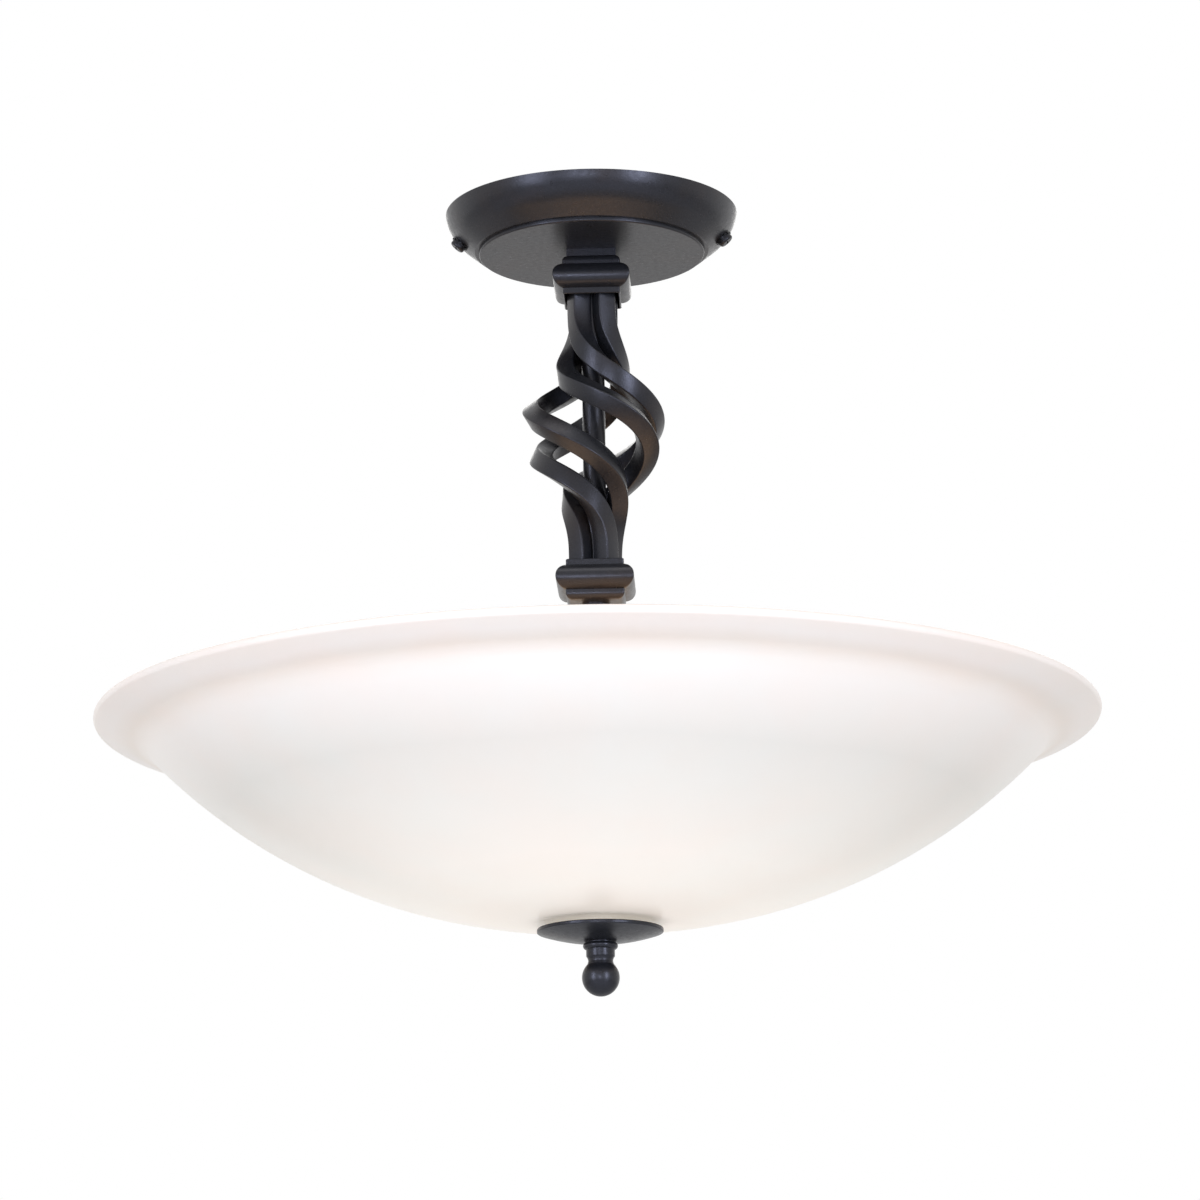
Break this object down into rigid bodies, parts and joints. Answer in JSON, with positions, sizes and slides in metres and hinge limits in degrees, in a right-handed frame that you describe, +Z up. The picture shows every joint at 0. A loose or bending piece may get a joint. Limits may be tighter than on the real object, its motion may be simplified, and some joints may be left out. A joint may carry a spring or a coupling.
{
  "type": "semi flush ceiling light",
  "caption": "Semi flush ceiling light: round canopy, open basket of twisted square bars between square collars, and a wide opal glass bowl clamped from below by a plate and finial.",
  "frame": {"origin": "on the ceiling plane, on the axis of the light, midway between the bracket slots", "axes": "+Z up into the ceiling along the axis of the light, +X along the bracket, -Y towards the front of the picture"},
  "size_m": [0.5, 0.5, 0.4026],
  "materials": {
    "graphite_paint": "fine textured dark graphite powder coat, semi-gloss",
    "black_screw": "black finish, satin",
    "zinc_steel": "zinc plated, satin",
    "brass": "plain brass, satin",
    "nickel_cap": "satin",
    "white_plastic": "moulded, matte",
    "lead_sleeve": "extruded sleeve, matte",
    "opal_glass": "opal white glass, satin inside and polished outside",
    "opal_bulb": "opal, matte",
    "clear_rubber": "moulded, matte"
  },
  "bodies": {
    "fixture": {"block_screw": "zinc_steel", "bottom_collar": "graphite_paint", "canopy": "graphite_paint", "ceiling_bracket": "zinc_steel", "clamp_nut": "zinc_steel", "clamp_washer": "zinc_steel", "collar_spacer": "graphite_paint", "earth_screw": "brass", "hub_body": "graphite_paint", "hub_cover": "graphite_paint", "hub_nut": "zinc_steel", "lamp_leads_1": "lead_sleeve", "lamp_leads_2": "lead_sleeve", "lamp_leads_3": "lead_sleeve", "lamp_nipple_1": "zinc_steel", "lamp_nipple_2": "zinc_steel", "lamp_nipple_3": "zinc_steel", "lampholder_base_1": "white_plastic", "lampholder_base_2": "white_plastic", "lampholder_base_3": "white_plastic", "lampholder_contact_1": "brass", "lampholder_contact_2": "brass", "lampholder_contact_3": "brass", "lampholder_shell_1": "white_plastic", "lampholder_shell_2": "white_plastic", "lampholder_shell_3": "white_plastic", "lower_rod": "zinc_steel", "neck": "graphite_paint", "nipple_nuts": "zinc_steel", "stem_lock_nut": "zinc_steel", "stem_lock_washer": "zinc_steel", "stem_tube": "graphite_paint", "terminal_block": "white_plastic", "terminal_screws": "brass", "top_collar": "graphite_paint", "twist_bar_1": "graphite_paint", "twist_bar_2": "graphite_paint", "twist_bar_3": "graphite_paint", "twist_bar_4": "graphite_paint"},
    "bowl": {"glass_bowl": "opal_glass", "upper_gasket": "clear_rubber"},
    "plate": {"finial_plate": "graphite_paint", "lower_gasket": "clear_rubber"},
    "finial": {"finial": "graphite_paint"},
    "washer_right": {"screw_washer_right": "black_screw"},
    "washer_left": {"screw_washer_left": "black_screw"},
    "screw_right": {"canopy_screw_right": "black_screw"},
    "screw_left": {"canopy_screw_left": "black_screw"},
    "lamp_1": {"lamp_cap_1": "nickel_cap", "lamp_bulb_1": "opal_bulb", "lamp_led_1": "white_plastic"},
    "lamp_2": {"lamp_cap_2": "nickel_cap", "lamp_bulb_2": "opal_bulb", "lamp_led_2": "white_plastic"},
    "lamp_3": {"lamp_cap_3": "nickel_cap", "lamp_bulb_3": "opal_bulb", "lamp_led_3": "white_plastic"}
  },
  "joints": [
    {"name": "bowl_lift", "type": "slide", "parent": "fixture", "child": "bowl", "axis": [0, 0, -1], "range_m": [0, 0.13]},
    {"name": "plate_drop", "type": "slide", "parent": "bowl", "child": "plate", "axis": [0, 0, -1], "range_m": [0, 0.0125]},
    {"name": "finial_turn", "type": "hinge", "parent": "plate", "child": "finial", "pos_m": [0, 0, -0.3756], "axis": [0, 0, -1], "range_deg": [0, 3610]},
    {"name": "lamp_out_1", "type": "slide", "parent": "fixture", "child": "lamp_1", "axis": [0, 1, 0], "range_m": [0, 0.024]},
    {"name": "lamp_out_2", "type": "slide", "parent": "fixture", "child": "lamp_2", "axis": [-0.866, -0.5, 0], "range_m": [0, 0.024]},
    {"name": "lamp_out_3", "type": "slide", "parent": "fixture", "child": "lamp_3", "axis": [0.866, -0.5, 0], "range_m": [0, 0.024]},
    {"name": "washer_right_travel", "type": "slide", "parent": "fixture", "child": "washer_right", "axis": [0.6561, 0, -0.7547], "range_m": [0, 0.0049]},
    {"name": "screw_right_turn", "type": "hinge", "parent": "washer_right", "child": "screw_right", "pos_m": [0.06717, 0, -0.0134], "axis": [0.6561, 0, -0.7547], "range_deg": [0, 2530]},
    {"name": "washer_left_travel", "type": "slide", "parent": "fixture", "child": "washer_left", "axis": [-0.6561, 0, -0.7547], "range_m": [0, 0.0049]},
    {"name": "screw_left_turn", "type": "hinge", "parent": "washer_left", "child": "screw_left", "pos_m": [-0.06717, 0, -0.0134], "axis": [-0.6561, 0, -0.7547], "range_deg": [0, 2530]}
  ],
  "couplings": [
    {"joint": "finial_turn", "follows": "plate_drop", "rad_per_m": 5026.5},
    {"joint": "screw_right_turn", "follows": "washer_right_travel", "rad_per_m": 8976},
    {"joint": "screw_left_turn", "follows": "washer_left_travel", "rad_per_m": 8976}
  ]
}
